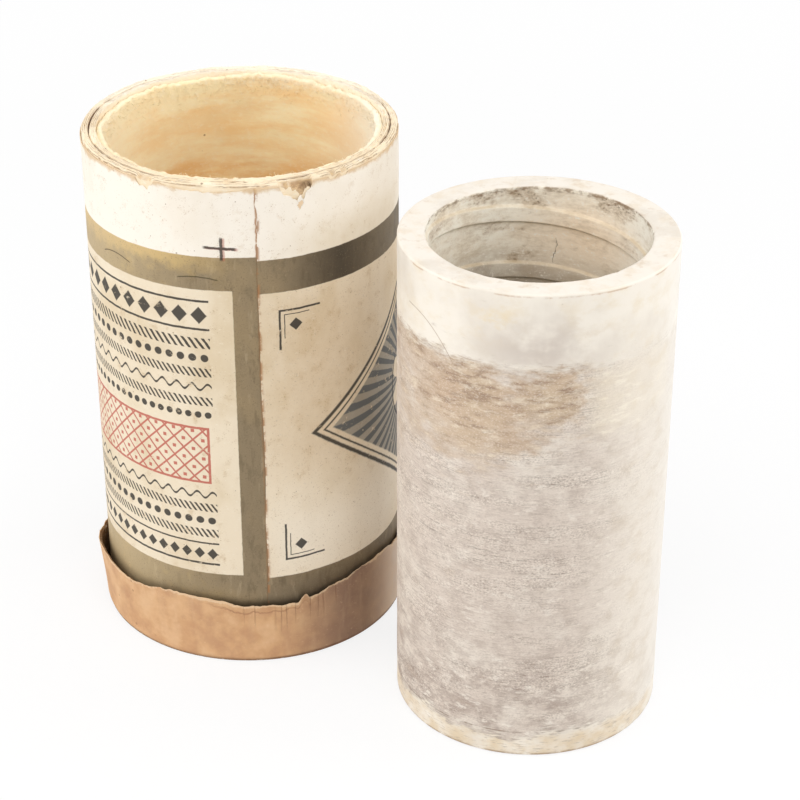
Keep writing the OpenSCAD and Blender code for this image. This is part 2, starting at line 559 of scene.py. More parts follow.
def crackMark(g, c, speck):
    wander = g.grain(2.2, 3, 0.6, (1, 1), 67.0).sway(5)
    slant = (c["high"] - g.z) * c["slant"] + wander + speck.sway(1.2)
    crack = abs(g.bearing.turnFrom(c["bearing"]) - slant).fall(0.04, 0.28)
    return crack * g.z.band(c["low"], c["high"], 0.3)


# Stained wax of the bore, with specks of mould near the mouth, and painted shadow under the rib's lower edge
def boreWax(g, r, mottle, speck, grey, colony, crack):
    z, bearing = g.z, g.bearing
    rib = g.number("ribSide")
    spread = bearing + g.grain(4, 5, 0.7, (1.6, 0.9), 57.0).sway(60)
    risen = z + g.grain(3, 5, 0.7, (1.6, 0.9), 63.0).sway(9)
    mould = g.patches(spread, risen, r["mould"]) + colony.sway(1.3)
    dirt = g.grain(1.1, 4, 0.7, (2.2, 0.9), 59.0)
    mouth = (z + dirt.sway(1.6)).rise(r["length"] - 1.4, r["length"] - 0.5)
    return g.layers(
        "#fffaec",
        ("#ecdcc4", grey.rise(0.42, 0.62) * 0.4),
        # painted shade: darker deeper down the bore
        ("#8f7a62", z.fall(84, 95) * 0.6),
        # painted light: paler on the right of the bore
        ("#fffdf4", bearing.band(60, 130, 20) * 0.6),
        ("#fde3c4", bearing.turnFrom(150).near(0, 60) * z.near(96, 14) * 0.75),
        # painted shade, mottled grey, low on the back-left of the bore
        ("#9d8c7c", bearing.turnFrom(-158).near(0, 44) * z.near(87, 8) * grey.rise(0.36, 0.56) * 0.6),
        ("#c6b095", mould.rise(0.1, 0.9) * 0.6),
        ("#bba689", (dirt * 0.6 + grey * 0.4).rise(0.46, 0.66) * 0.4),
        ("#947a5e", mould.rise(0.2, 0.9) * (speck * 0.4 + dirt * 0.6).rise(0.47, 0.62) * 0.7),
        ("#5c4632", mould.rise(0.5, 1.1) * speck.rise(0.55, 0.68) * 0.75),
        ("#85694d", mouth * dirt.rise(0.4, 0.6) * 0.7),
        ("#fffaf0", (dirt * 0.5 + speck * 0.5).fall(0.37, 0.45) * 0.7),
        # painted shade that dims the lit upper flank of the rib
        ("#c4b090", rib.near(1.75, 0.5) * (0.45 + mottle.rise(0.36, 0.64) * 0.35)),
        # painted shadow under the rib's lower edge
        ("#5f4c36", rib.near(-1.78, 0.15) * mottle.rise(0.36, 0.46) * 0.85),
        ("#8a7761", crack * 0.7),
    )


def waxFinish(r):
    g = Finish("bloomedWax")
    z, radius, bearing, top = g.z, g.radius, g.bearing, r["length"]
    onSide = radius.rise(r["radius"] - 0.4, r["radius"] - 0.2)
    inBore = radius.fall(r["boreLimit"], r["boreLimit"] + 0.4) * z.fall(top - 0.3, top - 0.1)
    cloud = g.grain(14, 4, 0.55)
    mottle = g.grain(3.5, 5, 0.62, (1.4, 1), 5.5)
    flake = g.grain(1.6, 5, 0.62, (2.0, 0.9), 3.1)
    dash = g.grain(0.6, 3, 0.6, (3.4, 0.5), 8.4)
    dots = g.grain(0.34, 2, 0.6, (1.3, 0.8), 12.0)
    speck = g.grain(0.42, 3, 0.7, (1.4, 1), 41.0)
    grey = g.grain(6, 5, 0.65, (1.6, 1), 47.0)
    colony = g.grain(2.6, 4, 0.65, (1.5, 1), 53.0)
    # the grey bloom stops raggedly above and below the recorded band, and is thin on the right
    ragged = flake.sway(1.5) + dash.sway(0.9)
    drift = g.grain(11, 3, 0.6, (1.6, 0.8), 21.0).sway(8)
    footDrift = g.grain(7, 4, 0.6, (1.6, 0.8), 23.0).sway(9)
    bandTop = ((z + drift * 0.4).fall(87.5, 93.5) + ragged).rise(0.2, 0.8)
    bandFoot = ((z + footDrift).rise(2.0, 8.0) + ragged).rise(0.3, 0.8)
    thin = bearing.band(30, 110, 22) * (0.45 + cloud * 0.4)
    recorded = bandTop * bandFoot * onSide * (1 - thin)
    bloom = greyBloom(g, cloud, mottle, flake, dash, dots)
    hair = hairlineMark(g, r["hairline"]) * onSide
    crack = crackMark(g, r["boreCrack"], speck)
    edge = (z + mottle.sway(0.6)).band(top - 0.75, top - 0.45, 0.1)
    side = g.layers(
        bareWax(g, cloud, mottle, dash),
        (stainedBloom(g, r, bloom, cloud, mottle, dots, drift), recorded),
        ("#b98f66", edge * onSide * mottle.rise(0.42, 0.6) * 0.55),
        # painted contact shadow along the lowest edge of the record's side
        ("#97734f", z.fall(0.3, 0.9) * mottle.rise(0.36, 0.56) * 0.8),
        ("#f4ebdd", bearing.near(-8, 16) * z.near(91.0, 1.0) * mottle.rise(0.35, 0.5) * onSide * 0.8),
        # painted light on the right of the record's side
        ("#f8f4ec", bearing.band(64, 125, 18) * onSide * 0.5),
        ("#ab937a", hair * 0.65),
    )
    colour = g.layers(
        "#ece4d8",
        ("#e0cfb6", mottle.rise(0.45, 0.7) * 0.55),
        ("#d8cec0", grey.rise(0.46, 0.64) * 0.55),
        ("#c7ad8e", (flake * 0.6 + colony * 0.6).rise(0.64, 0.76) * 0.35),
        ("#8b7a66", g.spots(1.7, 0.2, 0.14, 4.0) * mottle.rise(0.5, 0.62) * 0.6),
        (boreWax(g, r, mottle, speck, grey, colony, crack), inBore),
        (side, onSide),
    )
    # the sound groove: one fine spiral in the recorded band
    groove = ((z / r["groovePitch"] + bearing / 360) * (2 * math.pi)).sine() * 0.12 * recorded
    height = groove + (dash * 0.6 + dots * 0.5 + flake) * recorded + mottle * 0.5 + speck * inBore * 0.7
    height = height - hair * 0.3 - crack * inBore * 0.6
    roughness = 0.42 + recorded * 0.3 + inBore * 0.25 + mottle.sway(0.2)
    return g.finish(colour, roughness, height, 0.12, specular=0.35)


# How far the bore's upper edge has crumbled away outwards
def mouthChip(r, bearing, radius, z):
    above = z - r["length"] + r["chipDrop"]
    if above < 0 or radius > boreWall(r, z) + r["chipReach"]:
        return 0.0
    depth = max(0.0, lump(bearing, 0, *r["chipLump"]) - r["chipLeast"])
    return r["chipDepth"] * min(1.0, above) * depth


def makeRecord(r):
    section, boreCount = recordSection(r)
    foot, face = r["smoothEnds"]
    loops = []
    for i in range(r["columns"]):
        bearing = 360 * i / r["columns"]
        loop = []
        for radius, z in section:
            dent = lumps(r["dents"], bearing, z, radius) if foot < z < r["length"] - face else 0
            loop.append(upright(0, bearing, radius + dent + mouthChip(r, bearing, radius, z), z))
        loops.append(loop)
    blank = skin("waxBlank", loops)
    keepNumbers(blank, "boreWall", [float(0 < k < boreCount) for loop in loops for k in range(len(loop))])
    finish = waxFinish(r)
    values = {name: r[name] * mm for name in ribLengths}
    values.update({"ribEndAngle": math.radians(r["ribEndAngle"]), "Material": finish})
    mesh = grow("waxRecord", blank, spiralRibTree(), values)
    addPiece(mesh, "record", finish, ["wax_record"], 50)


makeRecord(record)
print("wax record turned and ribbed")


# Cardboard tubes of the carton

tubes = {
    "columns": 900,
    "plies": 8,
    "plyStep": 0.14,
    "plyLump": 6,
    "plyPitch": 0.36,  # of the dark lines between plies
    "fray": (0.2, 1.5),  # height, size
    "sag": (0.25, 9),
    "sink": 0.05,
    "wear": 0.35,
    "wearShare": 0.3,  # share of the wall, from outside, that is worn down
    "groove": 0.4,  # depth of the worn groove where the two tubes meet
    "grooveHalf": 0.45,
    "outerIn": radiusOf("inner_tube") + 0.1,
    "outerOut": radiusOf("outer_tube"),
    "innerIn": radiusOf("fleece_lining") + 0.05,
    "innerOut": radiusOf("inner_tube"),
    # bites out of the outer tube's rim: bearing, half width, depth into the wall, drop of the rim
    "bites": (
        (27.2, 2.3, 1.2, 1.9), (24.4, 2.2, 0.9, 2.3), (22.0, 1.6, 0.5, 1.2), (18.8, 2.4, 0.3, 0.8),
        (-31.6, 3.8, 0.2, 0.5), (37.5, 1.6, 0.5, 0.6), (42.5, 1.4, 0.5, 0.6),
    ),
    "biteRag": ((0.4, 1.1, 15), (0.3, 0.7, 16, noise.cell)),
    "biteWall": (0.3, 0.8),  # height, size
    "biteFloor": ((0.1, 0.0), (0.4, 0.85), (1.0, 1.0)),  # share of the wall, share of the drop
    "cavity": (28.0, 3.4),  # painted shade in the hollow of the largest bite: bearing, reach
    "ragRound": 33,  # radius at which the rag of torn edges is taken
    # rows of the two sides, below the rim
    "boreRows": (60.0, 8.0, 2.0, 0.7),
    "wallRows": (0.25, 0.6, 1.0, 1.5, 2.0, 2.6, 3.3, 4.2, 5.5, 8.0, 15.0, 60.0),
}


# Depth of each bite's floor below the rim at a bearing, with its depth into the wall
def bites(t, bearing):
    found = []
    for middle, half, inward, drop in t["bites"]:
        share = notch(bearing, middle, half)
        ragged = 1 + lumps(t["biteRag"], bearing, middle, t["ragRound"])
        found.append((drop * share * ragged, inward * share * ragged))
    return found


def tubeLoops(t, inside, outside, low, worn, seed):
    loops, torn = [], []
    first, last = t["wallRows"][0], t["wallRows"][-1]
    for bearing in bearings(t["columns"]):
        found = bites(t, bearing) if worn else [(0.0, 0.0)]
        drop = max(floor for floor, inward in found)
        loop = [(inside, low)]
        loop += [(inside, rimZ - d) for d in t["boreRows"]]
        torn += [0.0] * len(loop)
        for k in range(t["plies"] + 1):
            share = k / t["plies"]
            radius = inside + (outside - inside) * share
            ridge = (k % 2 - 0.5) * t["plyStep"] * (1 + lump(bearing, k * 5, radius, t["plyLump"], seed))
            rag = lumps([(*t["fray"], seed + 1)], bearing, k * 4, radius)
            rag += lumps([(*t["sag"], seed + 2)], bearing, 0, radius)
            edge = t["wear"] * max(0, share - 1 + t["wearShare"]) / t["wearShare"] if worn else 0.0
            # a bite leaves the innermost plies standing and has a nearly level floor
            bite = drop * knotLine(t["biteFloor"], share)
            groove = t["groove"] * max(0.0, 1 - abs(radius - t["innerOut"]) / t["grooveHalf"])
            loop.append((radius, rimZ - t["sink"] + ridge + rag - edge - bite - groove))
            torn.append(bite)
        top = loop[-1][1]
        for below in t["wallRows"]:
            share = (below - first) / (last - first)
            z = top + (rimZ - last - top) * share - first * (1 - share)
            depth = max(inward if rimZ - z < floor else 0.0 for floor, inward in found)
            rough = 1 + lumps([(*t["biteWall"], seed + 3)], bearing, z, outside)
            loop.append((outside - depth * rough, z))
            torn.append(depth)
        loop.append((outside, low))
        torn.append(0.0)
        loops.append(stand(bearing, loop))
    return loops, torn


# Raw strawboard: pale plies with dark broken lines between them
def boardFinish(name, light, dark, lines):
    g = Finish(name, cartonX)
    z, radius, bearing = g.z, g.radius, g.bearing
    fibre = g.grain(0.5, 4, 0.7, (3, 1), 2.0)
    patch = g.grain(4.0, 4, 0.6, (1.5, 1), 9.0)
    wobble = radius + g.grain(2.2, 2, 0.5, (1, 1), 4.0).sway(0.3)
    ply = abs((wobble / tubes["plyPitch"]).fraction() - 0.5).fall(0.02, 0.13) * patch.rise(0.36, 0.52)
    ply = ply * z.rise(rimZ - 0.9, rimZ - 0.4)
    back = abs(bearing).rise(80, 130)
    # painted shade in the groove where the two tubes meet, on the front of the rim
    gap = radius.near(tubes["innerOut"] + 0.05, 0.32) * z.rise(rimZ - 3, rimZ - 1)
    gap = gap * patch.rise(0.36, 0.48) * abs(bearing).fall(95, 125)
    cavity = (bearing + patch.sway(4)).near(*tubes["cavity"])
    torn = g.number("torn")
    colour = g.layers(
        light,
        (dark, patch.rise(0.4, 0.72) * 0.4),
        ("#fdf5e6", fibre.rise(0.54, 0.7) * 0.6),
        ("#946a40", ply * (1 - back * 0.75) * lines),
        ("#fff6e6", back * z.rise(rimZ - 2.5, rimZ - 0.8) * 0.6),
        # painted shade in the groove between the tubes
        ("#7d4f26", gap * 0.95),
        ("#a97f52", torn.rise(0.15, 0.9) * (0.4 + patch * 0.6)),
        ("#e3c597", torn.rise(0.1, 0.4) * fibre.rise(0.46, 0.6) * 0.7),
        # painted shade in the hollow of the largest bite
        ("#4f3822", (torn + fibre.sway(2.0)).rise(0.7, 1.6) * cavity * 0.85),
        ("#6d4d33", g.spots(1.3, 0.2, 0.2, 3.0) * 0.6),
    )
    height = fibre + ply * -0.6 + patch * 0.5
    return g.finish(colour, 0.88, height, 0.12, specular=0.2)


tubeBoard = boardFinish("tubeBoard", "#f7e6c9", "#e4c79c", 0.75)
for name, node, worn, seed in (("outer", "outer_tube", True, 11), ("inner", "inner_tube", False, 23)):
    inside, outside = tubes[name + "In"], tubes[name + "Out"]
    tubeSections, tornDepths = tubeLoops(tubes, inside, outside, lowOf(node), worn, seed)
    tubeMesh = skin(name + "Tube", tubeSections)
    keepNumbers(tubeMesh, "torn", tornDepths)
    addPiece(tubeMesh, "carton", tubeBoard, [node], 60)
frame["nodes"]["base_board"].material_slots[0].material = tubeBoard
print("cardboard tubes made")


# Fleece lining and floor pad

fleece = {
    "columns": 420,
    "rows": 70,
    "inside": wellRadius,
    "outside": radiusOf("fleece_lining"),
    "low": lowOf("fleece_lining"),
    "top": topOf("fleece_lining"),
    "swell": 0.22,
    "swellLeast": 0.4,
    "roll": 0.5,
    "rollTurns": (30, 60, 90, 120, 150),
    "backRows": (0.0, 0.1, 0.5),
    # how far the upper edge has slipped down: bearing, drop
    "slip": (
        (-180, 0.2), (-156, 0.7), (-130, 0.2), (-104, 0.6), (-80, 0.2), (-40, 0.1), (40, 0.1), (84, 0.5),
        (112, 0.1), (140, 0.8), (162, 0.1), (180, 0.2),
    ),
    # lumps: height, size, seed
    "dips": ((0.4, 4, 31),),
    "tufts": ((0.45, 1.3, 34),),
    "soft": ((1.0, 6, 32), (0.4, 2.4, 33)),
    "stray": ((0.55, 3.4, 35), (0.4, 1.1, 36)),
    "strayReach": 1.5,
    "napCount": 3200,
    "napLength": 0.6,
    "napWidth": 0.035,
    "napLean": 75.0,
    "napFrom": (106, 7),  # height where the nap starts, and how far above it is full
    "napOnRoll": 0.25,
    "padRings": 14,
    "padColumns": 96,
    "padHole": 0.4,
    "padSink": 0.25,
    "padLumps": ((0.2, 4, 41),),
    "padEdge": 0.4,
}


def fleeceLoops(f):
    loops = []
    inside, outside, low, roll = f["inside"], f["outside"], f["low"], f["roll"]
    for bearing in bearings(f["columns"]):
        top = f["top"] - knotLine(f["slip"], bearing) - abs(lumps(f["dips"], bearing, 0, inside))
        top += lumps(f["tufts"], bearing, 0, inside)
        loop = []
        for k in range(f["rows"] + 1):
            z = low + (top - roll - low) * k / f["rows"]
            # the loose edge flares and wanders
            loose = math.exp((z - top) / f["strayReach"])
            stray = loose * lumps(f["stray"], bearing, z, inside)
            swell = f["swell"] * (lumps(f["soft"], bearing, z, inside) + f["swellLeast"])
            loop.append((inside + swell + stray, z))
        middle = (loop[-1][0] + outside) / 2
        for turn in f["rollTurns"]:
            t = math.radians(180 - turn)
            loop.append((middle + (outside - middle) * math.cos(t), top - roll + roll * math.sin(t)))
        loop += [(outside, top - roll - (f["top"] - low) * share) for share in f["backRows"]]
        loop.append((outside, low))
        loops.append(stand(bearing, loop))
    return loops


def fleeceFinish(name):
    g = Finish(name, cartonX)
    z, bearing = g.z, g.bearing
    streak = g.grain(4.6, 5, 0.6, (3.6, 0.9), 1.0)
    fluff = g.grain(0.8, 5, 0.65, (1.6, 1), 6.0)
    patch = g.grain(9, 4, 0.6, (2.6, 0.8), 14.0)
    # the cut edge is bare and pale; deeper down the wall the tan streaks are painted darker and more orange,
    # as painted shade
    edge = (z + streak.sway(6) + fluff.sway(8) + patch.sway(10)).rise(110.0, 114.0)
    far = abs(bearing).rise(90, 130)
    # painted light: the wall is paler on the left and right of the well
    left = bearing.turnFrom(-95).near(0, 55)
    right = bearing.turnFrom(95).near(0, 60)
    colour = g.layers(
        "#fff0c6",
        ("#ffdda0", streak.rise(0.36, 0.68) * 0.6),
        # tan streaks of the fleece, painted darker and more orange deeper in the well as shade
        ("#e2a252", (patch + streak * 0.5).rise(0.52, 0.9) * z.fall(86, 101) * 0.85),
        ("#f3c88a", (patch + streak * 0.5).rise(0.64, 0.9) * z.rise(94, 101) * 0.5),
        # painted light on the left and right of the well
        ("#fff1cc", left * 0.75),
        ("#fffaea", right * 0.85),
        ("#fff6e2", fluff.rise(0.5, 0.72) * 0.3),
        ("#f2cf9e", fluff.fall(0.3, 0.46) * 0.25),
        ("#fff3d8", edge * (0.5 + far * 0.2)),
        ("#7b5a38", g.spots(6, 0.2, 0.05, 5.0) * 0.6),
    )
    height = fluff * 0.6 + streak * 0.5
    return g.finish(colour, 0.95, height, 0.1, specular=0.1, sheen=0.25)


# Short curved fibres that stand on a carrier where its "nap" number says
def fibreTree():
    inputs = {"Density": "Float", "Length": "Float", "Width": "Float", "Lean": "Float", "Seed": "Int"}
    g, wire = startTree("fibres", inputs)
    length, lean, seed = wire["Length"], wire["Lean"], wire["Seed"]
    nap = g.make("GeometryNodeInputNamedAttribute", {"data_type": "FLOAT"}, {"Name": "nap"})
    sockets = {"Mesh": wire["Geometry"], "Density": nap * wire["Density"], "Seed": seed}
    points = g.make("GeometryNodeDistributePointsOnFaces", {}, sockets, "Points")
    bend = {"Resolution": 3, "Start": (0, 0, -0.1), "Middle": (0.1, 0, 0.6), "End": (0.55, 0.1, 1.0)}
    line = g.make("GeometryNodeCurveQuadraticBezier", {}, bend)
    ring = {"Resolution": 3, "Radius": wire["Width"] / length}
    section = g.make("GeometryNodeCurvePrimitiveCircle", {}, ring)
    swept = {"Curve": line, "Profile Curve": section, "Fill Caps": True}
    strand = g.make("GeometryNodeCurveToMesh", {}, swept)
    reach = {0: g.join(lean * -1, lean * -1, 0.0), 1: g.join(lean, lean, 2 * math.pi), "Seed": seed}
    tilt = g.make("FunctionNodeRandomValue", {"data_type": "FLOAT_VECTOR"}, reach)
    sizes = {2: 0.5, 3: 1.3, "Seed": seed + 7}
    size = g.make("FunctionNodeRandomValue", {"data_type": "FLOAT"}, sizes, 1)
    turned = {"Rotation": points.other("Rotation"), "Rotate By": tilt}
    rotation = g.make("FunctionNodeRotateRotation", {"rotation_space": "LOCAL"}, turned)
    placed = {"Points": points, "Instance": strand, "Rotation": rotation, "Scale": size * length}
    return endTree(g, g.make("GeometryNodeInstanceOnPoints", {}, placed), wire["Material"])


def makeFleece(f):
    finish = fleeceFinish("cottonFleece")
    loops = fleeceLoops(f)
    mesh = skin("fleeceLining", loops)
    carrier = mesh.copy()
    # nap grows near the edge: on the inner side, and thinly over the roll
    low, full = f["napFrom"]
    cover = [1.0] * (f["rows"] + 1) + [f["napOnRoll"]] * len(f["rollTurns"])
    cover += [0.0] * (len(loops[0]) - len(cover))
    nap = []
    for loop in loops:
        nap += [max(0.0, (z - low) / full) ** 1.5 * share for (x, y, z), share in zip(loop, cover)]
    keepNumbers(carrier, "nap", nap)
    values = {
        "Density": f["napCount"] / (2 * math.pi * f["inside"] * 4 * mm * mm),
        "Length": f["napLength"] * mm,
        "Width": f["napWidth"] * mm,
        "Lean": math.radians(f["napLean"]),
        "Seed": 5,
        "Material": finish,
    }
    napMesh = grow("fleeceNap", carrier, fibreTree(), values)
    lining = addPiece(mesh, "carton", finish, ["fleece_lining"], 180)
    napPiece = addPiece(napMesh, "carton", finish, (), 180)
    print("fleece nap:", len(napMesh.polygons), "faces")
    return finish


def makePad(f, finish):
    low, top, outside = lowOf("base_pad"), topOf("base_pad"), radiusOf("base_pad")
    rings, hole = f["padRings"], f["padHole"]
    loops = []
    for i in range(f["padColumns"]):
        bearing = 360 * i / f["padColumns"]
        loop = []
        for k in range(rings + 1):
            radius = hole + (outside - hole - 0.1) * k / rings
            sunk = f["padSink"] + lumps(f["padLumps"], bearing, 0, radius) + f["padEdge"] * (k / rings) ** 8
            loop.append((radius, top - sunk))
        loop += [(outside, (low + top) / 2), (outside - 0.2, low), (outside * 0.5, low), (hole, low)]
        loops.append(stand(bearing, loop))
    pad = addPiece(skin("basePad", loops), "carton", finish, ["base_pad"], 180)


fleeceCloth = makeFleece(fleece)
makePad(fleece, fleeceCloth)
print("fleece lining and pad made")


# Printed paper round the carton

sheetUnit = 100  # millimetres in one unit of the label's map
label = {
    "inside": radiusOf("outer_tube") + 0.03,
    "thick": 0.2,
    "low": lowOf("label_wrap"),
    "top": topOf("label_wrap"),
    "seam": 8.5,  # bearing of the edge that lies on top
    "lap": 13.0,
    "lapFade": 7.0,
    "lapLift": 1.1,  # in thicknesses of the paper
    "columns": 1100,
    "crowding": 0.03,
    "rows": (
        0.0, 0.06, 0.12, 0.2, 0.3, 0.4, 0.5, 0.6, 0.7, 0.78, 0.84, 0.89, 0.92, 0.945, 0.96, 0.97, 0.98, 0.987,
        0.993, 1.0,
    ),
    "skew": 0.8,  # how far the print has slipped down where the wrap starts
    # tears in the upper edge: bearing, half width, depth
    "tears": (
        (-31.6, 3.8, 1.8), (-9.0, 16.0, 0.75), (23.2, 6.2, 3.1), (37.5, 1.8, 0.8), (42.3, 1.7, 0.8),
        (60.0, 3.0, 0.4), (138.0, 4.0, 0.6), (-120.0, 5.0, 0.5), (-75.0, 3.0, 0.5), (95.0, 2.5, 0.6),
    ),
    # lumps: height, size, seed
    "rag": ((0.12, 1.2, 51), (0.18, 7, 52)),
    "ragRound": 33,
    "flaked": ((0.3, 0.9, 53), (0.12, 1.3, 58, noise.cell)),
    "nicks": ((0.35, 1.3, 54), (0.5, 9, 55)),
    "curl": ((0.06, 11, 56),),
    "blister": (6, 57),  # size, seed
    "blisterHigh": 0.05,
    "edgeLift": 0.05,
    "edgeFade": 1.6,
}


def labelTop(l, bearing):
    torn = max(notch(bearing, middle, half) * depth for middle, half, depth in l["tears"])
    flaked = 1 + lumps(l["flaked"], bearing, 0, l["ragRound"])
    return l["top"] - torn * flaked + lumps(l["rag"], bearing, 0, l["ragRound"])


def makeLabel(l):
    loops, spots = [], []
    total = 360 + l["lap"]
    outer = l["inside"] + l["thick"]
    arc = math.radians(1) * outer
    for i in range(l["columns"] + 1):
        # columns stand closer together at the start of the wrap, where the edge is torn
        share = i / l["columns"]
        turned = total * (share * (1 - l["crowding"]) + l["crowding"] * share * share)
        over = knotLine(((l["lap"], 1.0), (l["lap"] + l["lapFade"], 0.0)), turned)
        bearing = l["seam"] + turned
        along = turned * arc
        edge = math.exp(-along / l["edgeFade"])
        top = labelTop(l, bearing)
        inner, outerSide = [], []
        for share in l["rows"]:
            z = l["low"] + (top - l["low"]) * share
            lift = edge * (l["edgeLift"] + lumps(l["curl"], 0, z, 0))
            blister = l["blisterHigh"] * (lump(bearing, z, outer, *l["blister"]) + 1)
            radius = l["inside"] + over * l["thick"] * l["lapLift"] + blister + lift
            at = bearing + edge * lumps(l["nicks"], 0, z, 0) / arc
            inner.append((at, radius, z))
            outerSide.append((at, radius + l["thick"], z))
        section = inner + outerSide[::-1]
        loops.append([upright(cartonX, *place) for place in section])
        spots += [(along / sheetUnit, z / sheetUnit) for at, radius, z in section]
    mesh = skin("labelWrap", loops, False, spots)
    addPiece(mesh, "carton", labelFinish(l), ["label_wrap"], 60)


labelPrint = {
    "bandLow": 90.2,
    "bandTop": 97.6,
    "panelLow": 22.0,
    "panels": ((0.0, 98.0), (104.0, 203.3)),
    "olive": "#8b7a5f",
    "cream": "#eadbc2",
    "neck": "#f6eee1",
    "ink": "#211f1e",
    "slate": "#4d5357",
    "red": "#b94f40",
    # a chip in the neck: bearing, height, half width, half height
    "chip": (24.5, 108.15, 0.7, 0.8),
    # scratches in the olive band: first bearing, last bearing, height, bulge
    "scratches": ((-55.3, -40.3, 92.8, 0.9), (-20.0, -5.4, 92.5, 0.5)),
    # a cross made by hand: bearing, height
    "cross": (-4.1, 99.6),
    "rowInset": 5,
    "bracketInset": 4,
    # the red frieze: foot, top, distance from the panel's ends, mesh, border
    "frieze": (44.6, 58.2, 6, 4.4, 0.55),
    # the lozenge: height of its middle, half width, half height
    "lozenge": (56.0, 35, 27),
}


# Cream paper of the panels and the paler neck, browned and specked
def creamPaper(g, p, s, z, neck, fibre, grit, cloud, mottle):
    return g.layers(
        p["cream"],
        (p["neck"], neck),
        ("#d3bd98", cloud.rise(0.42, 0.7) * (1 - neck * 0.7) * 0.6),
        ("#c8ae87", mottle.rise(0.54, 0.74) * (1 - neck * 0.5) * 0.5),
        ("#cbb08a", s.band(0, 22, 10) * z.band(48, 88, 8) * (0.15 + mottle * 0.6)),
        ("#f6ecda", s.band(2, 40, 8) * z.band(22, 40, 8) * 0.75),
        ("#f6efe2", fibre.rise(0.58, 0.72) * 0.4),
        ("#a98a63", grit.rise(0.6, 0.72) * mottle.rise(0.44, 0.62) * 0.7),
        ("#9c8260", (grit * 0.5 + fibre * 0.5).rise(0.56, 0.64) * s.band(-2, 42, 10) * (1 - neck) * 0.3),
        ("#7d5c3a", g.spots(1.9, 0.2, 0.1, 2.0) * 0.6),
        ("#5f4a35", g.spots(3.4, 0.18, 0.07, 8.0) * (1 - neck * 0.6) * 0.7),
    )


# Olive ground: scuffed, golden with worn ink and a painted sheen and light towards the left, and with painted
# shade right of the seam
def oliveGround(g, p, s, z, fibre, grit, cloud, mottle):
    goldWearAndSheen = z.rise(p["bandLow"] + 1, p["bandTop"] + 1) + mottle.sway(1.6) + (cloud - 0.5)
    scuff = g.grain(1.8, 5, 0.65, (1.2, 4), 29.0)
    return g.layers(
        p["olive"],
        ("#a08a66", cloud.rise(0.45, 0.65) * 0.5),
        ("#75664e", mottle.rise(0.48, 0.7) * 0.5),
        ("#6b5c44", scuff.fall(0.32, 0.46) * 0.5),
        ("#b3a182", scuff.rise(0.55, 0.68) * 0.4),
        # worn golden ink with a painted sheen towards the left, then painted light on the left
        ("#dfbd7a", goldWearAndSheen.rise(0.0, 0.8) * s.band(142, 196, 12) * 0.75),
        ("#d1b98e", s.band(130, 186, 18) * 0.6),
        # painted shade on the right of the seam
        ("#3b342b", s.band(10, 27, 9) * z.rise(70, 92) * 0.85),
        ("#5c5343", s.band(27, 60, 8) * z.rise(70, 92) * 0.6),
        # painted shade low on the right, above the cap's lip
        ("#43382c", s.band(4, 70, 12) * z.fall(14, 26) * 0.75),
        ("#b9ab92", (mottle * 0.7 + fibre * 0.5).rise(0.68, 0.78) * s.band(96, 106, 2) * 0.6),
        ("#b5a483", grit.rise(0.58, 0.74) * mottle.rise(0.4, 0.6) * 0.25),
        ("#54483a", grit.fall(0.28, 0.42) * 0.4),
    )


# Distance from the middle of the chip in the neck, 1 at its ragged edge
def chipMark(g, s, z, wide, tall):
    aside, above = s / wide, z / tall
    ragged = g.grain(0.8, 3, 0.6, (1, 1), 19.0).sway(2.2)
    return (aside * aside + above * above - aside * above).most(0.0) ** 0.5 + ragged


def scratchMarks(bearing, z, wobble, scratches):
    total = 0.0
    for first, last, high, bulge in scratches:
        t = (bearing - first) / (last - first)
        bend = abs(z - high - t * (1 - t) * (4 * bulge) + wobble).fall(0.06, 0.2)
        total = bend * bearing.band(first, last, 0.5) + total
    return total


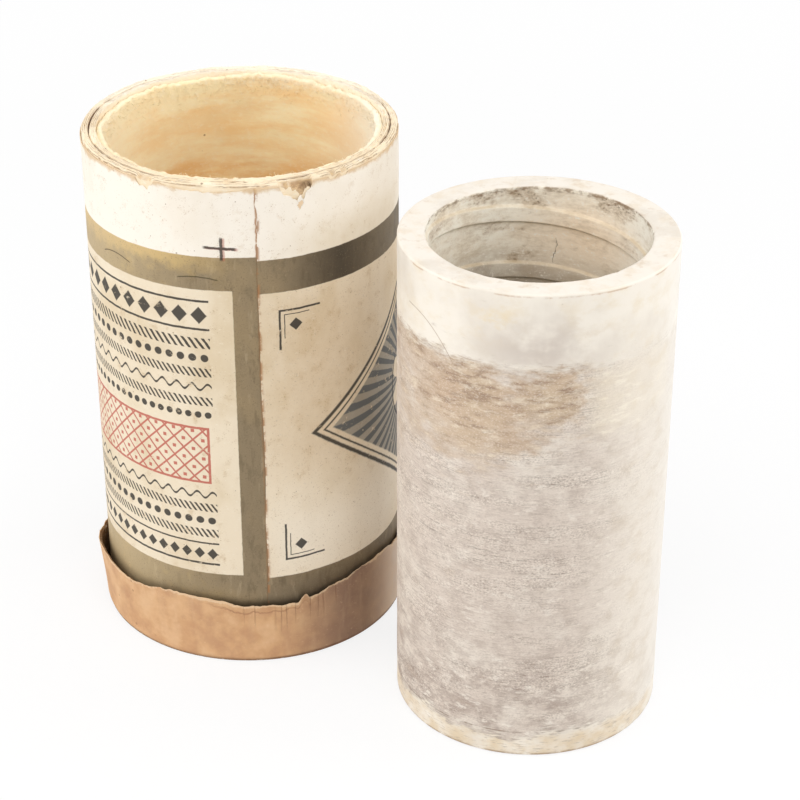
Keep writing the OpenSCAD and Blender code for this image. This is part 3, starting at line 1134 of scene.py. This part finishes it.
def labelFinish(l):
    p = labelPrint
    g = Finish("labelPaper", cartonX)
    bearing = g.bearing
    u, v, _ = g.split(g.make("ShaderNodeUVMap", {"uv_map": "sheet"}))
    turn = 2 * math.pi * (l["inside"] + l["thick"])
    arc = turn / 360
    s = u * sheetUnit
    trueZ = v * sheetUnit
    z = trueZ + (1 - s / turn) * l["skew"]
    fibre = g.grain(0.45, 4, 0.7, (2, 1), 1.0)
    grit = g.grain(0.3, 2, 0.6, (1, 1), 17.0)
    cloud = g.grain(16, 4, 0.6, (1, 1.4), 4.0)
    mottle = g.grain(3, 5, 0.66, (1, 1), 7.0)
    grains = fibre, grit, cloud, mottle
    wobble = g.grain(1.4, 2, 0.5, (1, 1), 11.0).sway(0.22)
    inkS = s + wobble
    inkZ = z + wobble
    # two cream panels, framed by an olive ground below a cream neck
    panelMask = 0.0
    for first, last in p["panels"]:
        panelMask = inkS.band(first, last, 0.1) + panelMask
    panelMask = panelMask * inkZ.band(p["panelLow"], p["bandLow"], 0.1)
    neck = inkZ.rise(p["bandTop"] - 0.1, p["bandTop"] + 0.1)
    olive = (1 - neck) * (1 - panelMask)
    ink, red, slate = labelInks(g, p, inkS, inkZ)
    worn = (mottle * 0.6 + fibre * 0.4).fall(0.57, 0.66)
    # bared board along the seam, glue beside it, soiling at the upper edge, and painted shade just above the
    # cap's lip
    nicks = s.fall(0.05, 0.7) * mottle.rise(0.44, 0.54)
    glue = abs(s - turn + wobble * 3).fall(0.05, 0.34) * (0.35 + neck * 0.65) * mottle.rise(0.3, 0.42)
    soiled = (trueZ + mottle.sway(3)).rise(l["top"] - 1.2, l["top"] - 0.1)
    chipAt, chipHigh, chipWide, chipTall = p["chip"]
    chip = chipMark(g, s - (chipAt - l["seam"]) * arc, trueZ - chipHigh, chipWide, chipTall)
    scratch = scratchMarks(bearing, trueZ, wobble, p["scratches"])
    crossAt, crossHigh = p["cross"]
    crossS = s - turn - (crossAt - l["seam"]) * arc
    crossZ = trueZ - crossHigh
    colour = g.layers(
        creamPaper(g, p, s, z, neck, *grains),
        (p["slate"], slate * worn * 0.92),
        (p["red"], red * worn * 0.85),
        (p["ink"], ink * worn * 0.92),
        (oliveGround(g, p, s, inkZ, *grains), olive),
        ("#a8764c", nicks * 0.85),
        ("#a9784a", glue * 0.85),
        ("#d8b88c", soiled * 0.8),
        # mottled beige staining, with painted shade on the right of the neck towards the record
        ("#dccbac", neck * bearing.band(24, 80, 14) * trueZ.fall(98, 108) * (0.2 + mottle * 0.6)),
        ("#fdf8ee", chip.fall(1.0, 1.3) * 0.6),
        ("#e0c096", chip.fall(0.7, 1.0) * 0.85),
        ("#40361f", scratch * 0.75),
        # painted shade on the paper just above the cap's lip
        ("#352c20", (trueZ + mottle.sway(1.2)).fall(13.8, 16.8) * (0.2 + bearing.rise(-50, -10) * 0.55)),
        ("#b4614c", crossMark(g, crossS - 0.4, crossZ + 0.1) * 0.55),
        ("#3b332c", crossMark(g, crossS, crossZ) * 0.9),
    )
    height = fibre * 0.6 + mottle * 0.6 - chip.fall(0.85, 1.1) * 1.5
    roughness = 0.68 + mottle.sway(0.25) + olive * -0.08
    return g.finish(colour, roughness, height, 0.06, specular=0.3)


# A mark made by hand with a pen: two short strokes that cross
def crossMark(g, s, z):
    shake = g.grain(0.9, 3, 0.6, at=g.join(s, z, 0.0)).sway(0.5)
    across = abs(z + s * 0.04 + shake).fall(0.18, 0.38) * s.band(-3.4, 3.1, 0.4)
    down = abs(s - 0.2 + shake).fall(0.2, 0.44) * z.band(-2.6, 2.3, 0.3)
    return across.most(down)


# Plain ornament in dark, red and slate ink
def labelInks(g, p, s, z):
    first, last = p["panels"][1]
    start, length = first + p["rowInset"], last - first - 2 * p["rowInset"]

    # counts whole steps of a pattern along the panel, so that no motif is cut at its ends
    def steps(pitch, slide=0.0):
        return ((s - start + slide) / (length / round(length / pitch))).fraction() - 0.5

    def lozenges(middle, half, pitch):
        return (abs(steps(pitch)) * 2.4 + abs(z - middle) / half).fall(0.9, 1.05)

    def hatch(middle, half, pitch):
        stripes = abs(steps(pitch, (z - middle) * 0.7)).fall(0.2, 0.26)
        return stripes * z.band(middle - half, middle + half, 0.06)

    def ripple(middle, half, pitch):
        return abs(z - middle - (steps(pitch) * (2 * math.pi)).sine() * half).fall(0.2, 0.34)

    def rule(middle, half):
        return abs(z - middle).fall(half, half + 0.1)

    def beads(middle, half, pitch):
        across = steps(pitch) * pitch
        return (across * across + (z - middle) * (z - middle)).fall(half * half * 0.8, half * half * 1.2)

    rows = [rule(87.6, 0.2), lozenges(84.4, 2.0, 4.2), rule(81.2, 0.2), hatch(78.0, 1.2, 1.5)]
    rows += [beads(74.6, 0.85, 2.6), hatch(71.2, 1.0, 1.2), ripple(67.8, 0.7, 3.4), hatch(64.4, 1.0, 1.2)]
    rows += [beads(61.2, 0.75, 2.2), ripple(41.8, 0.7, 3.4), hatch(38.6, 1.0, 1.2), beads(35.4, 0.85, 2.6)]
    rows += [hatch(32.2, 1.0, 1.2), rule(29.6, 0.15), lozenges(27.0, 1.4, 3.0), rule(24.4, 0.2)]
    ink = rows[0]
    for row in rows[1:]:
        ink = ink.most(row)
    ink = ink * s.band(start, start + length, 0.05)

    # a red frieze with a trellis of crossed lines, and a bead in each mesh
    low, top, inset, mesh, border = p["frieze"]

    def box(shrink):
        left, right = first + inset + shrink, last - inset - shrink
        return z.band(low + shrink, top - shrink, 0.05) * s.band(left, right, 0.05)

    inside = box(border)
    rising = abs(((s + z) / mesh).fraction() - 0.5)
    falling = abs(((s - z) / mesh).fraction() - 0.5)
    trellis = rising.fall(0.05, 0.08).most(falling.fall(0.05, 0.08))
    trellis = trellis.most((rising + falling).rise(0.8, 0.84))
    red = (box(0) - inside + trellis * inside).least(1.0)
    # a lozenge with rays and a flower on the first panel
    left, right = p["panels"][0]
    middle, wide, tall = p["lozenge"]
    x = s - (left + right) / 2
    y = z - middle
    spread = abs(x) / wide + abs(y) / tall
    distance = (x * x + y * y) ** 0.5
    turn = g.math("ARCTAN2", y, x)
    rays = (turn * 48).sine().rise(-0.3, 0.3)
    petals = (abs((turn * 4).sine()) * 6 + 6 - distance).rise(-0.3, 0.3)
    slate = spread.fall(0.94, 0.96) * (1 - petals) * (0.62 + rays * 0.38)
    ring = spread.band(1.0, 1.02, 0.008).most(spread.band(1.06, 1.1, 0.01))
    core = distance.fall(4.0, 4.4).most(distance.band(11.2, 11.7, 0.1))
    # a bracket of two lines and a lozenge in each corner
    foot, head, gap = p["panelLow"], p["bandLow"], p["bracketInset"]
    sides = (abs(x) - (right - left) / 2) * -1 - gap
    ends = abs(z - (foot + head) / 2) * -1 + (head - foot) / 2 - gap
    near, far = sides.least(ends), sides.most(ends)
    bracket = near.band(0.0, 0.45, 0.06) * far.fall(9.0, 9.2) + near.band(1.1, 1.3, 0.06) * far.fall(6.5, 6.7)
    bracket = bracket + (abs(sides - 3.6) + abs(ends - 3.6)).fall(1.3, 1.5)
    onFirst = s.fall(right - 1, right)
    return ink.most((ring.most(core) + bracket).least(1.0) * onFirst), red, slate * onFirst


makeLabel(label)
print("label wrapped")


# Loose cap at the carton's foot

cap = {
    "radius": radiusOf("cap_paper"),
    "height": topOf("cap_paper"),
    "paper": 0.15,
    "skirtOut": radiusOf("cap_skirt"),
    "skirt": 0.35,
    "skirtLow": lowOf("cap_skirt"),
    "skirtDrop": 0.45,
    "skirtSlack": 0.02,
    "footRound": 0.9,
    "footTurns": (30, 60),
    "turnIn": 9.0,
    "columns": 720,
    "wallRows": 16,
    # height of the torn lip round the cap: bearing, height
    "lip": (
        (-180, 13.4), (-150, 12.8), (-120, 12.2), (-106, 12.0), (-100, 12.3), (-94, 12.8), (-88, 13.8),
        (-82, 15.0), (-76, 15.8), (-70, 15.8), (-62, 15.3), (-50, 14.6), (-40, 14.9), (-33, 16.0),
        (-25, 16.5), (-18, 16.4), (-10, 15.9), (0, 14.8), (9, 14.5), (18, 14.5), (26, 15.3), (32, 16.4),
        (39, 17.0), (46, 17.9), (55, 18.0), (62, 17.7), (70, 17.0), (90, 16.0), (120, 15.2), (150, 14.6),
        (180, 13.4),
    ),
    # how far the wall has bulged outwards at the lip: bearing, bulge
    "bulge": (
        (-180, 0.3), (-130, 0.6), (-106, 0.9), (-92, 1.0), (-84, 1.2), (-76, 1.5), (-62, 1.2), (-35, 0.5),
        (0, 0.25), (60, 0.0), (140, 0.1), (180, 0.3),
    ),
    "bulgeCurve": 1.4,
    "creases": 0.08,
    "creaseFade": 3.0,
    # upright folds of the wall: strength, squeeze of the height, size, seed
    "folds": ((1.0, 0.12, 2.2, 61), (0.8, 0.3, 6, 62)),
    # lumps: height, size, seed
    "rag": ((0.26, 1.4, 63), (0.2, 4, 64), (0.14, 0.6, 66)),
    "skirtRag": ((0.25, 2, 65),),
    "ragRound": 34,
    # a shred of cover paper that stands up from the lip: bearing, half width, rise, curl outwards
    "shred": (21.5, 1.9, 1.7, 0.7),
}


def capOut(c, bearing, z):
    share = max(0.0, min(1.2, z / c["height"]))
    bulge = knotLine(c["bulge"], bearing) * share ** c["bulgeCurve"]
    folds = 0.0
    for strength, squeeze, size, seed in c["folds"]:
        folds += strength * lump(bearing, z * squeeze, c["ragRound"], size, seed)
    return bulge + c["creases"] * folds * min(1.0, z / c["creaseFade"])


def capLip(c, bearing):
    return knotLine(c["lip"], bearing) + lumps(c["rag"], bearing, 0, c["ragRound"])


def makeCap(c):
    paperLoops, skirtLoops, belowLip = [], [], []
    middle, half, rise, curl = c["shred"]
    radius, paper, foot, rows = c["radius"], c["paper"], c["footRound"], c["wallRows"]
    for bearing in bearings(c["columns"]):
        edge = capLip(c, bearing)
        shred = max(0.0, 1 - ((bearing - middle) / half) ** 2)
        lip = edge + rise * shred
        inner = [(radius - c["turnIn"], paper), (radius - foot, paper)]
        outer = [(radius - c["turnIn"], 0.0), (radius - foot, 0.0)]
        for turn in c["footTurns"]:
            t = math.radians(turn)
            reach, z = radius - foot + foot * math.sin(t), foot - foot * math.cos(t)
            outer.append((reach, z))
            inner.append((reach - paper, z + paper * 0.5))
        for k in range(rows + 1):
            z = foot + (lip - foot) * k / rows
            out = capOut(c, bearing, z) + curl * shred * (k / rows) ** 6
            outer.append((radius + out, z))
            inner.append((radius - paper + out, z))
        section = inner + outer[::-1]
        paperLoops.append(stand(bearing, section))
        belowLip += [lip - z for r, z in section]
        top = edge - c["skirtDrop"] + lumps(c["skirtRag"], bearing, 0, c["ragRound"])
        inner, outer = [], []
        for k in range(rows + 1):
            z = c["skirtLow"] + (top - c["skirtLow"]) * k / rows
            out = capOut(c, bearing, z) - c["skirtSlack"]
            outer.append((c["skirtOut"] + out, z))
            inner.append((c["skirtOut"] - c["skirt"] + max(0.0, out), z))
        skirtLoops.append(stand(bearing, inner + outer[::-1]))
    # the board is painted darker than it is, as painted shade in the gap between the cap and the carton
    board = boardFinish("capBoard", "#8f6e4e", "#654a34", 0.4)
    cover = capPaperFinish()
    addPiece(skin("capSkirt", skirtLoops), "cap", board, ["cap_skirt"], 60)
    mesh = skin("capPaper", paperLoops)
    keepNumbers(mesh, "belowLip", belowLip)
    addPiece(mesh, "cap", cover, ["cap_paper"], 60)
    frame["nodes"]["cap_board"].material_slots[0].material = board


def capPaperFinish():
    g = Finish("capPaper", cartonX)
    z, bearing = g.z, g.bearing
    below = g.number("belowLip")
    crease = g.grain(2.4, 3, 0.5, (1, 5), 2.0)
    mottle = g.grain(4.5, 5, 0.6, (1.4, 1), 8.0)
    foldBumpAndShade = g.grain(5.0, 4, 0.6, (1.2, 1.5), 21.0)
    fibre = g.grain(0.5, 4, 0.7, (1.6, 1), 12.0)
    # upright creases, with painted shade along them, run down from the lip, and a torn layer ends just below
    # it
    creaseAndShade = abs(g.grain(2.6, 1, 0.4, (1, 40), 5.0) - 0.5).fall(0.0, 0.035)
    creaseAndShade = creaseAndShade * (below + mottle.sway(9)).fall(2, 7) * bearing.band(-4, 40, 8)
    layer = abs(below - 1.6 - mottle.sway(2.4)).fall(0.05, 0.25) * bearing.band(-12, 24, 8)
    colour = g.layers(
        "#d9ae82",
        ("#c4946b", mottle.rise(0.4, 0.7) * 0.65),
        # painted light and shade of soft folds, which the bump also raises
        ("#ba8c6a", foldBumpAndShade.rise(0.44, 0.66) * 0.55),
        ("#e6c198", foldBumpAndShade.fall(0.32, 0.48) * 0.4),
        # painted shade on the right of the cap, near the record
        ("#82695a", bearing.band(24, 62, 16) * (0.6 + mottle * 0.4)),
        # painted light reflected from the record, further right
        ("#e4d5c4", bearing.band(62, 98, 16) * (0.6 + mottle * 0.6)),
        ("#e4c29b", crease.rise(0.52, 0.74) * 0.15),
        # painted shade along the upright creases
        ("#8a6046", creaseAndShade * 0.35),
        ("#a87a58", layer * 0.6),
        ("#e8caa4", fibre.rise(0.6, 0.74) * 0.4),
        ("#ecd0ac", (below + fibre.sway(1.6) + mottle.sway(2.4)).fall(0.1, 0.6) * 0.6),
        # painted contact shadow along the cap's foot, strongest on the right
        ("#6a4430", (z + mottle.sway(0.8)).fall(0.3, 1.2) * (0.45 + bearing.band(5, 110, 20) * 0.4)),
        ("#8c6040", g.spots(3, 0.2, 0.12, 3.0) * 0.5),
    )
    height = crease * 0.4 + foldBumpAndShade * 0.5 + creaseAndShade * -0.8 + layer * -0.6 + fibre * 0.4
    return g.finish(colour, 0.75, height, 0.14, specular=0.3)


makeCap(cap)
print("cap made")


# Floor, world and lamps

studio = {
    "floorSize": 6.0,  # metres
    "floorTone": 0.9,
    "floorWhite": (0.78, 0.97),  # share of plain white that the camera sees in the floor, near and far
    "floorFade": (120, 420),
    "ambient": 0.56,
    # name, place round the set's middle (right, towards the camera, up), size in metres, watts
    "lamps": (
        ("lampLeft", (-0.62, 0.1, 0.36), 0.5, 2.05),
        ("lampRight", (0.66, -0.05, 0.34), 0.5, 1.9),
        ("lampTop", (0.05, 0.4, 0.75), 0.6, 3.0),
    ),
}


def plainWhite(g, share):
    path = g.make("ShaderNodeLightPath", output="Is Camera Ray")
    return path.most(path.other("Is Glossy Ray")).most(path.other("Is Transmission Ray")) * share


def makeFloor(s):
    size, white = s["floorSize"], s["floorTone"]
    corners = [(-size, -size, 0), (size, -size, 0), (size, size, 0), (-size, size, 0)]
    mesh = bpy.data.meshes.new("floor")
    mesh.from_pydata(corners, [], [(0, 1, 2, 3)])
    floor = bpy.data.objects.new("floor", mesh)
    scene.collection.objects.link(floor)
    g = Finish("floorWhite", cartonX / 2)
    shader = g.tree.nodes["Principled BSDF"]
    g.fill(shader, {"Base Color": (white, white, white, 1), "Roughness": 0.9})
    glow = g.make("ShaderNodeEmission", {}, {"Color": (1, 1, 1, 1), "Strength": 1.0})
    near, far = s["floorWhite"]
    share = g.radius.rise(*s["floorFade"]) * (far - near) + near
    mixed = {0: plainWhite(g, share), 1: Wire(g, shader.outputs[0]), 2: glow}
    g.fill(g.tree.nodes["Material Output"], {"Surface": g.make("ShaderNodeMixShader", {}, mixed)})
    mesh.materials.append(g.material)


def makeWorld(s):
    world = bpy.data.worlds.new("studioWorld")
    world.use_nodes = True
    scene.world = world
    g = Graph(world.node_tree)
    strength = plainWhite(g, 1 - s["ambient"]) + s["ambient"]
    g.fill(g.tree.nodes["Background"], {"Color": (1, 1, 1, 1), "Strength": strength})


def placeLamps(s):
    turn = math.radians(camera["turn"])
    right = Vector((math.cos(turn), math.sin(turn), 0))
    nearer = Vector((math.sin(turn), -math.cos(turn), 0))
    middle = Vector((cartonX * mm / 2, 0, rimZ * mm / 2))
    for name, (aside, ahead, up), wide, watts in s["lamps"]:
        lamp = bpy.data.lights.new(name, "AREA")
        lamp.size = wide
        lamp.energy = watts
        body = bpy.data.objects.new(name, lamp)
        body.location = middle + right * aside + nearer * ahead + Vector((0, 0, up))
        body.rotation_euler = (middle - body.location).to_track_quat("-Z", "Y").to_euler()
        scene.collection.objects.link(body)


makeFloor(studio)
makeWorld(studio)
placeLamps(studio)
print("studio lit")
